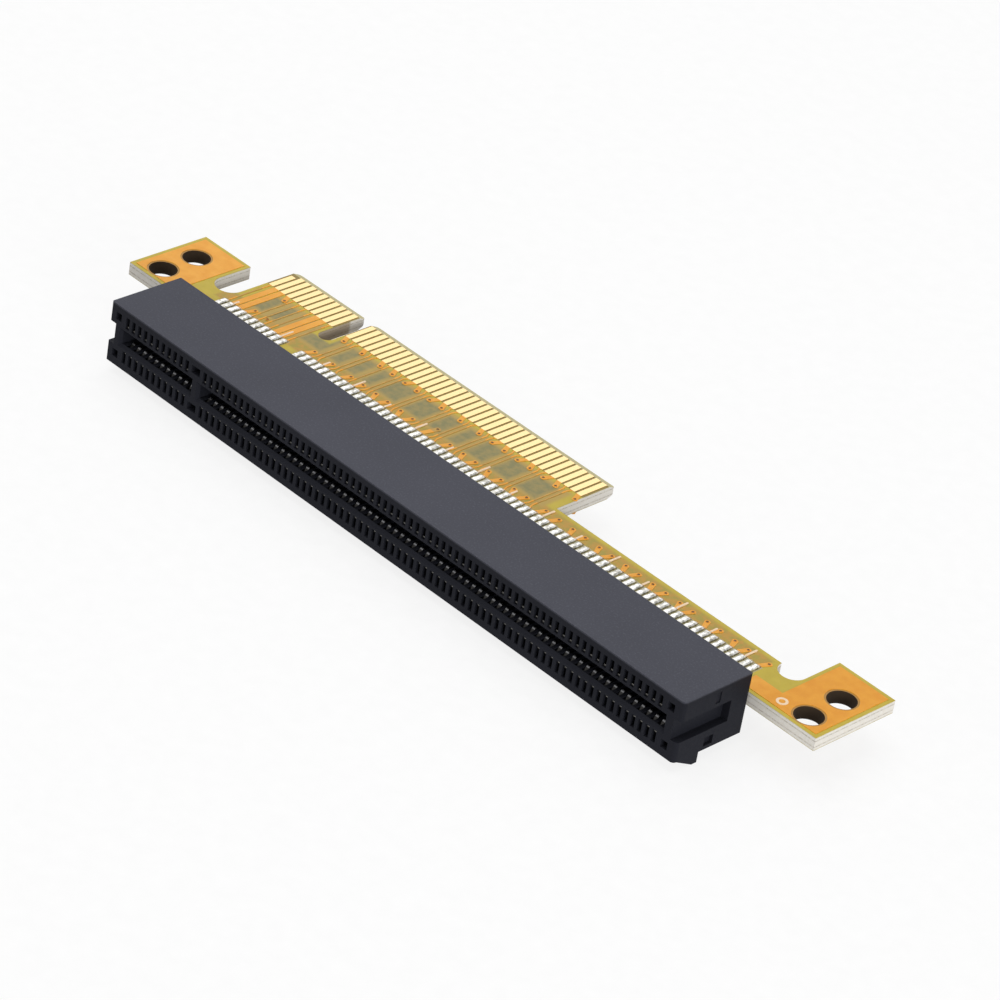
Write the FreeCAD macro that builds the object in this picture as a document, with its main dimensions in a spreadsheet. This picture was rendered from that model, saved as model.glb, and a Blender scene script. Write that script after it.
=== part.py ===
import FreeCAD, Part
import math
import os
import re
import Sketcher

# A short PCI Express riser: a board with an x8 gold edge and two screw ears, and an
# x16 card connector soldered astride its other edge.
# X runs along the connector, Y from its mating face towards the gold edge, Z up through
# the board. The origin is the middle of the card slot's key, on the mating face.

SIZES = {
    # Pin layout, shared by the connector and the board.
    "pin_pitch": 1.0,
    "key_span": 3.0,
    "short_row_pins": 11,
    "long_row_pins": 71,
    # Connector housing.
    "housing_depth": 9.92,
    "housing_height": 7.5,
    "left_wall": 1.95,
    "right_wall": 2.25,
    "left_corner_radius": 0.15,
    "right_corner_radius": 0.5,
    "slot_height": 1.7,
    "slot_depth": 8.0,
    "slot_margin": 0.85,
    "slot_chamfer": 0.35,
    "key_wall": 1.4,
    "seat_depth": 1.0,
    "seat_clearance": 0.05,
    # Contact channels, with heights measured from the board's mid-plane.
    "channel_width": 0.56,
    "window_low": 1.45,
    "window_high": 2.9,
    "lip_depth": 0.4,
    "gate_low": 1.1,
    "gate_high": 1.95,
    # Blind pockets in line with the contact windows.
    "end_pocket_width": 0.9,
    "end_pocket_offset": 1.5,
    "key_pocket_width": 1.36,
    "pocket_low": 1.86,
    "pocket_high": 2.8,
    "pocket_depth": 2.5,
    # End faces of the housing.
    "recess_height": 2.6,
    "recess_sink": 0.95,
    "recess_length": 7.4,
    "upper_dent_start": 4.9,
    "upper_dent_end": 5.6,
    "upper_dent_low": 1.75,
    "upper_dent_high": 3.1,
    "upper_dent_sink": 0.12,
    "lower_dent_start": 4.3,
    "lower_dent_end": 5.6,
    "lower_dent_low": 2.2,
    "lower_dent_high": 3.3,
    "lower_dent_sink": 0.4,
    # Card latch under the right end.
    "latch_width": 2.0,
    "latch_drop": 1.28,
    "latch_ramp": 3.0,
    "latch_flat": 0.75,
    # Contacts of bent strip, with heights to the middle of the strip.
    "strip_width": 0.4,
    "strip_thickness": 0.2,
    "bend_radius": 0.12,
    "toe_reach": 4.5,
    "toe_length": 1.0,
    "toe_gap": 0.08,
    "heel_reach": 1.3,
    "heel_height": 1.3,
    "gate_inset": 0.2,
    "gate_height": 1.6,
    "beam_inset": 0.6,
    "beam_length": 1.9,
    "beam_height": 2.2,
    "bump_place": 1.5,
    "bump_height": 0.72,
    "bump_radius": 0.4,
    "tip_inset": 0.1,
    "tip_place": 0.2,
    "tip_gap": 0.08,
    # Solder joints, measured from the contact's toe.
    "solder_width": 0.7,
    "solder_ahead": 0.55,
    "solder_behind": 2.2,
    "solder_crown": 0.17,
    "solder_edge": 0.06,
    # Board outline.
    "board_thickness": 1.6,
    "ear_setback": 0.7,
    "strip_depth": 6.74,
    "left_ear_length": 11.4,
    "right_ear_length": 12.1,
    "ear_outer": 3.1,
    "ear_inner": 4.68,
    "left_hole_gap": 6.1,
    "right_hole_gap": 5.8,
    "hole_spacing": 5.0,
    "hole_edge": 2.3,
    "hole_diameter": 3.3,
    "ear_notch_radius": 1.65,
    # Gold edge.
    "edge_long_pins": 38,
    "edge_margin": 0.65,
    "edge_length": 9.14,
    "edge_corner": 0.5,
    "bevel_length": 1.1,
    "bevel_depth": 0.47,
    "key_notch_width": 1.9,
    "key_notch_depth": 7.92,
    "finger_width": 0.7,
    "finger_length": 4.05,
    "finger_setback": 0.55,
    "film_thickness": 0.05,
    # Copper under the solder mask.
    "pour_margin": 0.5,
    "pour_gap": 0.22,
    "pour_bridge": 2.3,
    "power_width": 0.82,
    "signal_width": 0.18,
    "pair_spacing": 0.56,
    "fan_length": 0.6,
    "via_radius": 0.36,
    "via_reach": 1.0,
    "tall_via_reach": 2.0,
    "via_shift": 0.45,
    "stub_width": 0.6,
    # How far a cutting shape runs past the face that it cuts.
    "overrun": 1.0,
}

doc = FreeCAD.newDocument("riser_card")
sheet = doc.addObject("Spreadsheet::Sheet", "sizes")
for row, (alias, number) in enumerate(SIZES.items(), start=1):
    sheet.set(f"A{row}", alias)
    sheet.set(f"B{row}", str(number))
    sheet.setAlias(f"B{row}", alias)
doc.recompute()

# Places that several pieces share, as sums of the sizes.
SLOT_LEFT = "(-key_span / 2 - (short_row_pins - 1) * pin_pitch - slot_margin)"
SLOT_RIGHT = "(key_span / 2 + (long_row_pins - 1) * pin_pitch + slot_margin)"
LEFT_END = f"({SLOT_LEFT} - left_wall)"
RIGHT_END = f"({SLOT_RIGHT} + right_wall)"
BOARD_TOP = "(board_thickness / 2)"
BOARD_FRONT = "(housing_depth + ear_setback)"
STRIP_BACK = f"({BOARD_FRONT} + strip_depth)"
EDGE_LEFT = "(-key_span / 2 - (short_row_pins - 1) * pin_pitch - edge_margin)"
EDGE_RIGHT = "(key_span / 2 + (edge_long_pins - 1) * pin_pitch + edge_margin)"
EDGE_TIP = f"({STRIP_BACK} + edge_length)"
BEVEL_START = f"({EDGE_TIP} - bevel_length)"
FINGER_START = f"({BEVEL_START} - finger_length)"
LEFT_HOLE = f"({LEFT_END} - left_hole_gap)"
RIGHT_HOLE = f"({RIGHT_END} + right_hole_gap)"
HOLES_NEAR = f"({BOARD_FRONT} + hole_edge)"
TOE_END = "(housing_depth + toe_reach)"
TOE_HEIGHT = f"({BOARD_TOP} + toe_gap + strip_thickness / 2)"
TIP_HEIGHT = "(window_low + tip_gap + strip_thickness / 2)"
PAD_END = f"({TOE_END} + solder_ahead)"

# Pin jobs of the card edge, as numbered from the short row's outer end.
UPPER_GROUNDS = (4, 12, 15, 18, 20, 23, 24, 27, 28, 31, 34, 37, 38, 41, 42, 45, 46, 49)
UPPER_FAR_GROUNDS = (51, 54, 55, 58, 59, 62, 63, 66, 67, 70, 71, 74, 75, 78, 79, 82)
UPPER_PAIRS = (13, 16, 21, 25, 29, 32, 35, 39, 43, 47)
UPPER_SINGLES = (1, 5, 6, 7, 8, 11, 19)
UPPER_POWER = (2, 3, 9, 10)
UPPER_TALL_STUBS = (31,)
UPPER_SHORT_FINGERS = (1,)
LOWER_GROUNDS = (4, 7, 13, 16, 18, 21, 22, 25, 26, 29, 32, 35, 36, 39, 40, 43, 44, 47, 49)
LOWER_FAR_GROUNDS = (52, 53, 56, 57, 60, 61, 64, 65, 68, 69, 72, 73, 76, 77, 80)
LOWER_PAIRS = (14, 19, 23, 27, 33, 37, 41, 45)
LOWER_SINGLES = (5, 6, 9, 11, 12, 17, 30, 31, 48)
LOWER_POWER = (1, 2, 3, 8, 10)
LOWER_TALL_STUBS = (25,)
LOWER_SHORT_FINGERS = (17, 31, 48)


def size(expression):
    """Point each size named in an expression at its cell."""
    words = re.split(r"(\W+)", expression)
    return "".join("sizes." + word if word in SIZES else word for word in words)


def value(expression):
    """Work out an expression now, for a shape that is made in code."""
    return float(sheet.evalExpression(size(expression)))


def pin_place(pin):
    """The place of a pin along X."""
    if pin <= int(sheet.short_row_pins):
        return f"(-key_span / 2 - (short_row_pins - {pin}) * pin_pitch)"
    return f"(key_span / 2 + ({pin} - short_row_pins - 1) * pin_pitch)"


# Part primitives whose sizes are bound to the sheet


def box(name, across, along, up):
    """A box between pairs of places along X, Y and Z."""
    item = doc.addObject("Part::Box", name)
    spans = (("x", "Length", across), ("y", "Width", along), ("z", "Height", up))
    for axis, side, (low, high) in spans:
        item.setExpression("Placement.Base." + axis, size(low))
        item.setExpression(side, size(f"({high}) - ({low})"))
    return item


def upright(name, across, along, radius, up):
    """A cylinder along Z."""
    item = doc.addObject("Part::Cylinder", name)
    low, high = up
    item.setExpression("Placement.Base.x", size(across))
    item.setExpression("Placement.Base.y", size(along))
    item.setExpression("Placement.Base.z", size(low))
    item.setExpression("Radius", size(radius))
    item.setExpression("Height", size(f"({high}) - ({low})"))
    return item


def join(name, items):
    item = doc.addObject("Part::MultiFuse", name)
    item.Shapes = items
    item.Refine = True
    return item


def cut(name, base, tool):
    item = doc.addObject("Part::Cut", name)
    item.Base = base
    item.Tool = tool
    item.Refine = True
    return item


def group(name, items):
    item = doc.addObject("Part::Compound", name)
    item.Links = items
    return item


def underside(name, source):
    """The same piece on the other side of the board."""
    item = doc.addObject("Part::Mirroring", name)
    item.Source = source
    item.Normal = FreeCAD.Vector(0, 0, 1)
    return item


# PartDesign bodies, with sketches whose corners are bound to the sheet


def origin_part(body, role):
    return next(item for item in body.Origin.OriginFeatures if item.Role == role)


def new_sketch(body, name, plane, offset="0"):
    """A sketch on one of the body's origin planes, moved along its normal."""
    sketch = body.newObject("Sketcher::SketchObject", name)
    sketch.AttachmentSupport = [(origin_part(body, plane), "")]
    sketch.MapMode = "FlatFace"
    sketch.setExpression("AttachmentOffset.Base.z", size(offset))
    return sketch


def fix_point(sketch, line, end, corner):
    """Hold one end of a line at a corner given by two expressions."""
    for kind, expression in zip(("DistanceX", "DistanceY"), corner):
        number = value(expression)
        if number >= 0:
            constraint = Sketcher.Constraint(kind, -1, 1, line, end, number)
        else:
            constraint = Sketcher.Constraint(kind, line, end, -1, 1, -number)
            expression = f"-({expression})"
        index = sketch.addConstraint(constraint)
        sketch.setExpression(f"Constraints[{index}]", size(expression))


def draw(sketch, corners, closed=True):
    """Lines through the corners, each corner held in place."""
    points = [FreeCAD.Vector(value(x), value(y), 0) for x, y in corners]
    count = len(points) if closed else len(points) - 1
    first = sketch.GeometryCount
    for index in range(count):
        ahead = points[(index + 1) % len(points)]
        sketch.addGeometry(Part.LineSegment(points[index], ahead), False)
    for index in range(count if closed else count - 1):
        ahead = first + (index + 1) % count
        sketch.addConstraint(Sketcher.Constraint("Coincident", first + index, 2, ahead, 1))
    for index in range(count):
        fix_point(sketch, first + index, 1, corners[index])
    if not closed:
        fix_point(sketch, first + count - 1, 2, corners[-1])


def draw_rectangle(sketch, across, up):
    (left, right), (low, high) = across, up
    draw(sketch, [(left, low), (right, low), (right, high), (left, high)])


def sweep_through(body, kind, name, sketch, length, both_ways=False, backwards=False):
    """A pad or pocket of a sketch."""
    feature = body.newObject(kind, name)
    feature.Profile = sketch
    feature.setExpression("Length", size(length))
    feature.Midplane = both_ways
    feature.Reversed = backwards
    return feature


def row_of(body, name, features, count, backwards=False):
    """Repeat features along X at the pin pitch."""
    pattern = body.newObject("PartDesign::LinearPattern", name)
    pattern.Originals = features
    pattern.Direction = (origin_part(body, "X_Axis"), [""])
    pattern.Reversed = backwards
    pattern.setExpression("Occurrences", size(count))
    pattern.setExpression("Length", size(f"(({count}) - 1) * pin_pitch"))
    body.Tip = pattern
    return pattern


def row_of_shapes(body, name, count):
    """Repeat the finished body along X, as separate solids."""
    doc.recompute()
    pattern = row_of(body, name, [], count)
    pattern.TransformMode = "Whole shape"
    pattern.Refine = False


# Connector housing


def housing_block(body):
    outline = new_sketch(body, "block_outline", "XY_Plane")
    draw_rectangle(outline, (LEFT_END, RIGHT_END), ("0", "housing_depth"))
    block = sweep_through(body, "PartDesign::Pad", "block", outline, "housing_height", both_ways=True)
    for side in ("left", "right"):
        doc.recompute()
        rounding = body.newObject("PartDesign::Fillet", side + "_front_corner")
        rounding.Base = (block, front_corner(block.Shape, side))
        rounding.setExpression("Radius", size(side + "_corner_radius"))
        block = rounding


def front_corner(shape, side):
    """The name of the upright edge between the mating face and one end."""
    middle = value(f"({LEFT_END} + {RIGHT_END}) / 2")
    for index, edge in enumerate(shape.Edges, start=1):
        spread = edge.BoundBox
        upright_edge = spread.ZLength > value("housing_height / 2") and spread.XLength < 0.01
        on_side = spread.XMax < middle if side == "left" else spread.XMin > middle
        if upright_edge and on_side and spread.YMax < 0.01:
            return [f"Edge{index}"]
    raise RuntimeError(f"the block has no front corner on the {side}")


def housing_slots(body):
    slot_half = ("-slot_height / 2", "slot_height / 2")
    mouth = new_sketch(body, "slot_mouths", "XZ_Plane")
    draw_rectangle(mouth, (SLOT_LEFT, "-key_wall / 2"), slot_half)
    draw_rectangle(mouth, ("key_wall / 2", SLOT_RIGHT), slot_half)
    slots = sweep_through(body, "PartDesign::Pocket", "card_slots", mouth, "slot_depth")
    doc.recompute()
    lead_in = body.newObject("PartDesign::Chamfer", "slot_lead_in")
    lead_in.Base = (slots, mouth_edges(slots.Shape))
    lead_in.setExpression("Size", size("slot_chamfer"))
    seat_half = f"({BOARD_TOP} + seat_clearance)"
    seat = new_sketch(body, "seat_mouth", "XZ_Plane", "-housing_depth")
    draw_rectangle(seat, (SLOT_LEFT, SLOT_RIGHT), (f"-{seat_half}", seat_half))
    sweep_through(body, "PartDesign::Pocket", "board_seat", seat, "seat_depth", backwards=True)


def mouth_edges(shape):
    """The names of the edges round the card slots on the mating face."""
    half = value("slot_height / 2") + 0.01
    left, right = value(SLOT_LEFT) - 0.01, value(SLOT_RIGHT) + 0.01
    names = []
    for index, edge in enumerate(shape.Edges, start=1):
        spread = edge.BoundBox
        in_height = -half < spread.ZMin and spread.ZMax < half
        if spread.YMax < 0.01 and in_height and left < spread.XMin and spread.XMax < right:
            names.append(f"Edge{index}")
    return names


def channel_outline():
    """One contact channel seen from the end: window, slot side and tail gate, above and below."""
    upper = [
        ("-overrun", "window_low"),
        ("lip_depth", "window_low"),
    ]
    rear = [
        ("slot_depth", "gate_low"),
        ("housing_depth + overrun", "gate_low"),
        ("housing_depth + overrun", "gate_high"),
        ("slot_depth", "gate_high"),
        ("slot_depth", "window_high"),
        ("-overrun", "window_high"),
    ]
    below_front = [(place, f"-{height}") for place, height in reversed(upper)]
    below_rear = [(place, f"-{height}") for place, height in reversed(rear)]
    return upper + below_front + below_rear + rear


def housing_channels(body):
    rows = (
        ("short", "-key_span / 2", "short_row_pins", True),
        ("long", "key_span / 2", "long_row_pins", False),
    )
    for name, place, count, backwards in rows:
        outline = new_sketch(body, name + "_channel_outline", "YZ_Plane", place)
        draw(outline, channel_outline())
        channel = sweep_through(
            body, "PartDesign::Pocket", name + "_channel", outline, "channel_width", both_ways=True
        )
        row_of(body, name + "_channels", [channel], count, backwards)


def housing_pockets(body):
    heights = (("pocket_low", "pocket_high"), ("-pocket_high", "-pocket_low"))
    last_pin = "(short_row_pins + long_row_pins)"
    left = f"({pin_place(1)} - end_pocket_offset)"
    right = f"(key_span / 2 + ({last_pin} - short_row_pins - 1) * pin_pitch + end_pocket_offset)"
    places = ((left, "end_pocket_width"), ("0", "key_pocket_width"), (right, "end_pocket_width"))
    mouths = new_sketch(body, "pocket_mouths", "XZ_Plane")
    for middle, width in places:
        for up in heights:
            draw_rectangle(mouths, (f"{middle} - {width} / 2", f"{middle} + {width} / 2"), up)
    sweep_through(body, "PartDesign::Pocket", "blind_pockets", mouths, "pocket_depth")


def housing_ends(body):
    """A long recess and two shallow dents in each end face."""
    half = "recess_height / 2"
    cuts = (
        ("recess", ("-overrun", "recess_length"), (f"-{half}", half)),
        ("upper_dent", ("upper_dent_start", "upper_dent_end"), ("upper_dent_low", "upper_dent_high")),
        (
            "lower_dent",
            ("lower_dent_start", "lower_dent_end"),
            ("-lower_dent_high", "-lower_dent_low"),
        ),
    )
    for name, along, up in cuts:
        for side, place, backwards in (("left", LEFT_END, True), ("right", RIGHT_END, False)):
            outline = new_sketch(body, f"{side}_{name}_outline", "YZ_Plane", place)
            draw_rectangle(outline, along, up)
            sweep_through(
                body,
                "PartDesign::Pocket",
                f"{side}_{name}",
                outline,
                name + "_sink",
                backwards=backwards,
            )


def housing_latch(body):
    outline = new_sketch(body, "latch_outline", "YZ_Plane", RIGHT_END)
    base = "-housing_height / 2"
    corners = [
        ("right_corner_radius", base),
        ("latch_ramp", f"{base} - latch_drop"),
        ("latch_ramp + latch_flat", f"{base} - latch_drop"),
        ("latch_ramp + latch_flat", base),
    ]
    draw(outline, corners)
    sweep_through(body, "PartDesign::Pad", "card_latch", outline, "latch_width", backwards=True)


def connector_housing():
    body = doc.addObject("PartDesign::Body", "connector_housing")
    housing_block(body)
    housing_slots(body)
    housing_pockets(body)
    housing_ends(body)
    housing_latch(body)
    housing_channels(body)
    return body


# Contacts and their solder joints

STRIP_PATH = [
    (TOE_END, TOE_HEIGHT),
    (f"{TOE_END} - toe_length", TOE_HEIGHT),
    ("housing_depth + heel_reach", "heel_height"),
    ("slot_depth + gate_inset", "gate_height"),
    ("slot_depth - beam_inset", "beam_height"),
    ("slot_depth - beam_inset - beam_length", "beam_height"),
    ("bump_place", "bump_height"),
    ("lip_depth + tip_inset", TIP_HEIGHT),
    ("tip_place", TIP_HEIGHT),
]


def offset_points(points, distance):
    """Corners of a line that follows the points at a distance, as a first guess."""
    corners = []
    for index, (x, y) in enumerate(points):
        normals = []
        for start, end in (points[max(index - 1, 0) :][:2], points[min(index, len(points) - 2) :][:2]):
            run = math.hypot(end[0] - start[0], end[1] - start[1])
            normals.append(((start[1] - end[1]) / run, (end[0] - start[0]) / run))
        (ax, ay), (bx, by) = normals
        share = distance / (1 + ax * bx + ay * by)
        corners.append((x + (ax + bx) * share, y + (ay + by) * share))
    return corners


def strip_outline(sketch):
    """The path as construction lines, with the strip's two faces parallel to it."""
    path = [(value(x), value(y)) for x, y in STRIP_PATH]
    last = len(path) - 2
    for start, end in zip(path, path[1:]):
        line = Part.LineSegment(FreeCAD.Vector(*start), FreeCAD.Vector(*end))
        sketch.addGeometry(line, True)
    for index in range(last):
        sketch.addConstraint(Sketcher.Constraint("Coincident", index, 2, index + 1, 1))
    for index in range(last + 1):
        fix_point(sketch, index, 1, STRIP_PATH[index])
    fix_point(sketch, last, 2, STRIP_PATH[-1])

    half = value("strip_thickness / 2")
    loop = offset_points(path, half) + offset_points(path, -half)[::-1]
    first = sketch.GeometryCount
    for start, end in zip(loop, loop[1:] + loop[:1]):
        line = Part.LineSegment(FreeCAD.Vector(*start), FreeCAD.Vector(*end))
        sketch.addGeometry(line, False)
    for index in range(len(loop)):
        ahead = first + (index + 1) % len(loop)
        sketch.addConstraint(Sketcher.Constraint("Coincident", first + index, 2, ahead, 1))
    for index in range(last + 1):
        for face in (first + index, first + 2 * last + 2 - index):
            sketch.addConstraint(Sketcher.Constraint("Parallel", index, face))
            held = sketch.addConstraint(Sketcher.Constraint("Distance", index, 1, face, half))
            sketch.setExpression(f"Constraints[{held}]", size("strip_thickness / 2"))
    for end_face, line, end in ((first + last + 1, last, 2), (first + len(loop) - 1, 0, 1)):
        sketch.addConstraint(Sketcher.Constraint("Perpendicular", end_face, line))
        sketch.addConstraint(Sketcher.Constraint("PointOnObject", line, end, end_face))


def bend_edges(shape, low, high):
    """The names of a strip's edges along X between two places."""
    names = []
    for index, edge in enumerate(shape.Edges, start=1):
        spread = edge.BoundBox
        if spread.YLength < 0.01 and spread.ZLength < 0.01 and low < spread.YMin < high:
            names.append(f"Edge{index}")
    return names


def contact_bank(name, first, count):
    body = doc.addObject("PartDesign::Body", name)
    outline = new_sketch(body, name + "_outline", "YZ_Plane", pin_place(first))
    strip_outline(outline)
    strip = sweep_through(
        body, "PartDesign::Pad", name + "_strip", outline, "strip_width", both_ways=True
    )
    low, high = value("tip_place + strip_thickness"), value(f"{TOE_END} - strip_thickness")
    bump_low, bump_high = value("bump_place - strip_thickness"), value("bump_place + strip_thickness")
    doc.recompute()
    sharp = bend_edges(strip.Shape, low, high)
    bump = bend_edges(strip.Shape, bump_low, bump_high)
    bends = body.newObject("PartDesign::Fillet", name + "_bends")
    bends.Base = (strip, [edge for edge in sharp if edge not in bump])
    bends.setExpression("Radius", size("bend_radius"))
    doc.recompute()
    crest = body.newObject("PartDesign::Fillet", name + "_bump")
    crest.Base = (bends, bend_edges(bends.Shape, bump_low, bump_high))
    crest.setExpression("Radius", size("bump_radius"))
    row_of_shapes(body, name + "_row", count)
    return body


def joint_outline():
    """A solder joint from the side, thickest over the contact's toe."""
    heel = f"{TOE_END} - toe_length"
    crown = f"{TOE_HEIGHT} + solder_crown"
    return [
        (f"{TOE_END} - solder_behind", BOARD_TOP),
        (PAD_END, BOARD_TOP),
        (PAD_END, f"{BOARD_TOP} + solder_edge"),
        (TOE_END, crown),
        (heel, crown),
        (f"{TOE_END} - solder_behind", f"{BOARD_TOP} + solder_edge"),
    ]


def solder_bank(name, first, count):
    """Joints round the contacts' toes, each with its strip taken out of it."""
    body = doc.addObject("PartDesign::Body", name)
    outline = new_sketch(body, name + "_outline", "YZ_Plane", pin_place(first))
    draw(outline, joint_outline())
    sweep_through(body, "PartDesign::Pad", name + "_lump", outline, "solder_width", both_ways=True)
    strip = new_sketch(body, name + "_strip_outline", "YZ_Plane", pin_place(first))
    strip_outline(strip)
    sweep_through(body, "PartDesign::Pocket", name + "_groove", strip, "strip_width", both_ways=True)
    row_of_shapes(body, name + "_row", count)
    return body


# Board


def corner_tool(name, corner, inward, radius, up):
    """What a rounded corner takes off: a square less the round."""
    (x, y), (side_x, side_y) = corner, inward
    inner = (f"{x} + {side_x} * {radius}", f"{y} + {side_y} * {radius}")
    low_x, high_x = (x, inner[0]) if side_x > 0 else (inner[0], x)
    low_y, high_y = (y, inner[1]) if side_y > 0 else (inner[1], y)
    square = box(name + "_square", (low_x, high_x), (low_y, high_y), up)
    disc = upright(name + "_disc", inner[0], inner[1], radius, up)
    return cut(name, square, disc)


def board_plates():
    thick = (f"-{BOARD_TOP}", BOARD_TOP)
    left_side = f"({LEFT_HOLE} - ear_outer)"
    right_side = f"({RIGHT_HOLE} + ear_outer)"
    left_ear = (left_side, f"{LEFT_HOLE} + ear_inner")
    right_ear = (f"{RIGHT_HOLE} - ear_inner", right_side)
    seat = (f"{SLOT_LEFT} + seat_clearance", f"{SLOT_RIGHT} - seat_clearance")
    seat_front = "housing_depth - seat_depth + seat_clearance"
    plates = [
        box("strip", (left_side, right_side), (BOARD_FRONT, STRIP_BACK), thick),
        box("left_ear", left_ear, (BOARD_FRONT, f"{BOARD_FRONT} + left_ear_length"), thick),
        box("right_ear", right_ear, (BOARD_FRONT, f"{BOARD_FRONT} + right_ear_length"), thick),
        box("seat", seat, (seat_front, STRIP_BACK), thick),
        box("edge", (EDGE_LEFT, EDGE_RIGHT), (BOARD_FRONT, BEVEL_START), thick),
    ]
    bevel = doc.addObject("Part::Wedge", "bevel")
    for side, place in (("min", EDGE_LEFT), ("max", EDGE_RIGHT)):
        bevel.setExpression("X" + side, size(place))
        bevel.setExpression("X2" + side, size(place))
    for side, sign in (("min", "-"), ("max", "")):
        bevel.setExpression("Z" + side, size(sign + BOARD_TOP))
        bevel.setExpression("Z2" + side, size(f"{sign}({BOARD_TOP} - bevel_depth)"))
    bevel.setExpression("Ymin", size(BEVEL_START))
    bevel.setExpression("Ymax", size(EDGE_TIP))
    return join("board_plates", plates + [bevel])


def board_notches(through):
    left_edge = f"({LEFT_HOLE} + ear_inner)"
    left_middle = f"(({left_edge} + {EDGE_LEFT}) / 2)"
    left_radius = f"(({EDGE_LEFT} - {left_edge}) / 2)"
    right_middle = f"({RIGHT_HOLE} - ear_inner - ear_notch_radius)"
    key_round = f"({EDGE_TIP} - key_notch_depth + key_notch_width / 2)"
    key_side = "key_notch_width / 2"
    tools = [
        upright("left_notch", left_middle, STRIP_BACK, left_radius, through),
        upright("right_notch", right_middle, STRIP_BACK, "ear_notch_radius", through),
        upright("key_notch_round", "0", key_round, key_side, through),
        box("key_notch_sides", (f"-{key_side}", key_side), (key_round, f"{EDGE_TIP} + overrun"), through),
    ]
    corners = (
        ("edge_left_corner", EDGE_LEFT, 1),
        ("key_left_corner", f"(-{key_side})", -1),
        ("key_right_corner", f"({key_side})", 1),
        ("edge_right_corner", EDGE_RIGHT, -1),
    )
    for name, place, inward in corners:
        tools.append(corner_tool(name, (place, EDGE_TIP), (inward, -1), "edge_corner", through))
    return tools


def circuit_board():
    through = (f"-{BOARD_TOP} - overrun", f"{BOARD_TOP} + overrun")
    tools = board_notches(through)
    for side, across in (("left", LEFT_HOLE), ("right", RIGHT_HOLE)):
        for row, along in (("near", HOLES_NEAR), ("far", f"{HOLES_NEAR} + hole_spacing")):
            tools.append(upright(f"{side}_{row}_hole", across, along, "hole_diameter / 2", through))
    return cut("circuit_board", board_plates(), join("board_cuts", tools))


# Gold fingers and copper

FILM = (BOARD_TOP, f"{BOARD_TOP} + film_thickness")


def finger_bank(name, first, count, short_fingers):
    fingers = []
    for pin in range(first, first + count):
        place = pin_place(pin)
        across = (f"{place} - finger_width / 2", f"{place} + finger_width / 2")
        tip = f"{BEVEL_START} - finger_setback" if pin in short_fingers else BEVEL_START
        fingers.append(box(f"{name}_finger_{pin}", across, (FINGER_START, tip), FILM))
    return group(name, fingers)


def ear_pour(name, hole, side, length):
    """Copper round a pair of screw holes, with a bridge towards the connector."""
    outer = f"{hole} + {side} * (ear_outer - pour_margin)"
    inner = f"{hole} - {side} * (ear_inner - pour_margin)"
    pin = pin_place(1) if side < 0 else pin_place(int(sheet.short_row_pins + sheet.long_row_pins))
    bridge_end = f"{pin} + {side} * pin_pitch"
    near = f"{BOARD_FRONT} + pour_margin"
    plate_across = (outer, inner) if side < 0 else (inner, outer)
    bridge_across = (outer, bridge_end) if side < 0 else (bridge_end, outer)
    plate = box(name + "_plate", plate_across, (near, f"{BOARD_FRONT} + {length} - pour_margin"), FILM)
    bridge = box(name + "_bridge", bridge_across, (near, f"{near} + pour_bridge"), FILM)
    relief = "hole_diameter / 2 + pour_gap"
    through = (BOARD_TOP, f"{BOARD_TOP} + overrun")
    reliefs = [
        upright(name + "_near_relief", hole, HOLES_NEAR, relief, through),
        upright(name + "_far_relief", hole, f"{HOLES_NEAR} + hole_spacing", relief, through),
    ]
    return cut(name, join(name + "_copper", [plate, bridge]), join(name + "_reliefs", reliefs))


def power_strip(name, pin):
    place = pin_place(pin)
    across = (f"{place} - power_width / 2", f"{place} + power_width / 2")
    return box(f"{name}_power_{pin}", across, (PAD_END, FINGER_START), FILM)


def ribbon(points, width):
    """A thin copper trace: one flat outline round the points, thickened."""
    left = []
    right = []
    for index, (x, y) in enumerate(points):
        before = points[max(index - 1, 0)]
        after = points[min(index + 1, len(points) - 1)]
        run = math.hypot(after[0] - before[0], after[1] - before[1])
        step_x = -(after[1] - before[1]) / run * width / 2
        step_y = (after[0] - before[0]) / run * width / 2
        if index in (0, len(points) - 1):
            step_x, step_y = math.copysign(width / 2, step_x), 0
        left.append((x + step_x, y + step_y))
        right.append((x - step_x, y - step_y))
    height = value(BOARD_TOP)
    corners = [FreeCAD.Vector(x, y, height) for x, y in left + right[::-1]]
    face = Part.Face(Part.makePolygon(corners + corners[:1]))
    return face.extrude(FreeCAD.Vector(0, 0, value("film_thickness")))


def single_trace(pin):
    place = value(pin_place(pin))
    return ribbon([(place, value(PAD_END)), (place, value(FINGER_START))], value("signal_width"))


def pair_traces(pin):
    """Two traces that run close together between their pads and their fingers."""
    near, far = value(PAD_END), value(FINGER_START)
    fan = value("fan_length")
    outer = value(pin_place(pin)), value(pin_place(pin + 1))
    middle = sum(outer) / 2
    traces = []
    for place, side in zip(outer, (-1, 1)):
        inner = middle + side * value("pair_spacing / 2")
        points = [(place, near), (inner, near + fan), (inner, far - fan), (place, far)]
        traces.append(ribbon(points, value("signal_width")))
    return traces


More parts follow.
